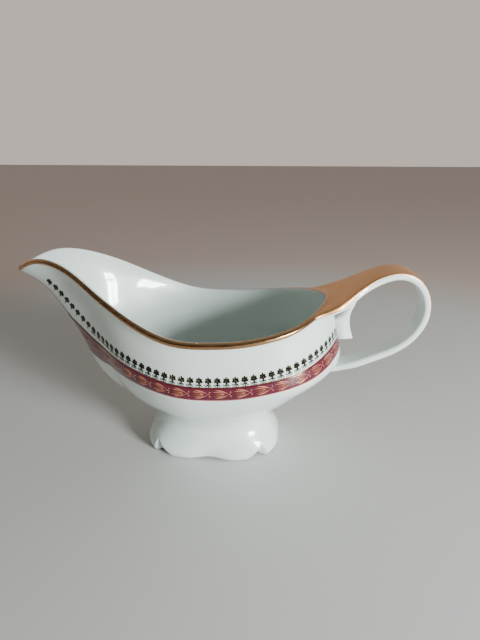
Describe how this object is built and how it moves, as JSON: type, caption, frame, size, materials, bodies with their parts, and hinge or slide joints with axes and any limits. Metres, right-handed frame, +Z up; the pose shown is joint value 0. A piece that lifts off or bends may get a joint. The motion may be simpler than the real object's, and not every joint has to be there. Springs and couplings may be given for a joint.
{
  "type": "gravy boat",
  "caption": "Footed porcelain gravy boat with a pouring spout, a loop handle braced by a small spur, a gilded rim and a printed border round the belly.",
  "frame": {"origin": "on the standing plane, midway along the overall length from the spout's tip to the loop of the handle, in the boat's plane of symmetry", "axes": "+X towards the handle, -X towards the spout, +Z up; the boat is alike on both sides of the XZ plane"},
  "size_m": [0.2417, 0.0978, 0.1204],
  "materials": {
    "porcelain": "clear high gloss glaze over a cool white body",
    "gold": "fired gold film, satin, with a copper-brown cast",
    "burgundy_enamel": "glossy fired overglaze enamel",
    "salmon_gold": "fired print with a light metallic sheen"
  },
  "bodies": {
    "root": {"bowl": "porcelain", "foot": "porcelain", "handle": "porcelain", "handle_spur": "porcelain", "rim_gilding": "gold", "handle_gilding": "gold", "burgundy_band": "burgundy_enamel", "band_garland": "salmon_gold", "band_edge_lines": "salmon_gold", "palmette_border": "gold"}
  },
  "joints": []
}
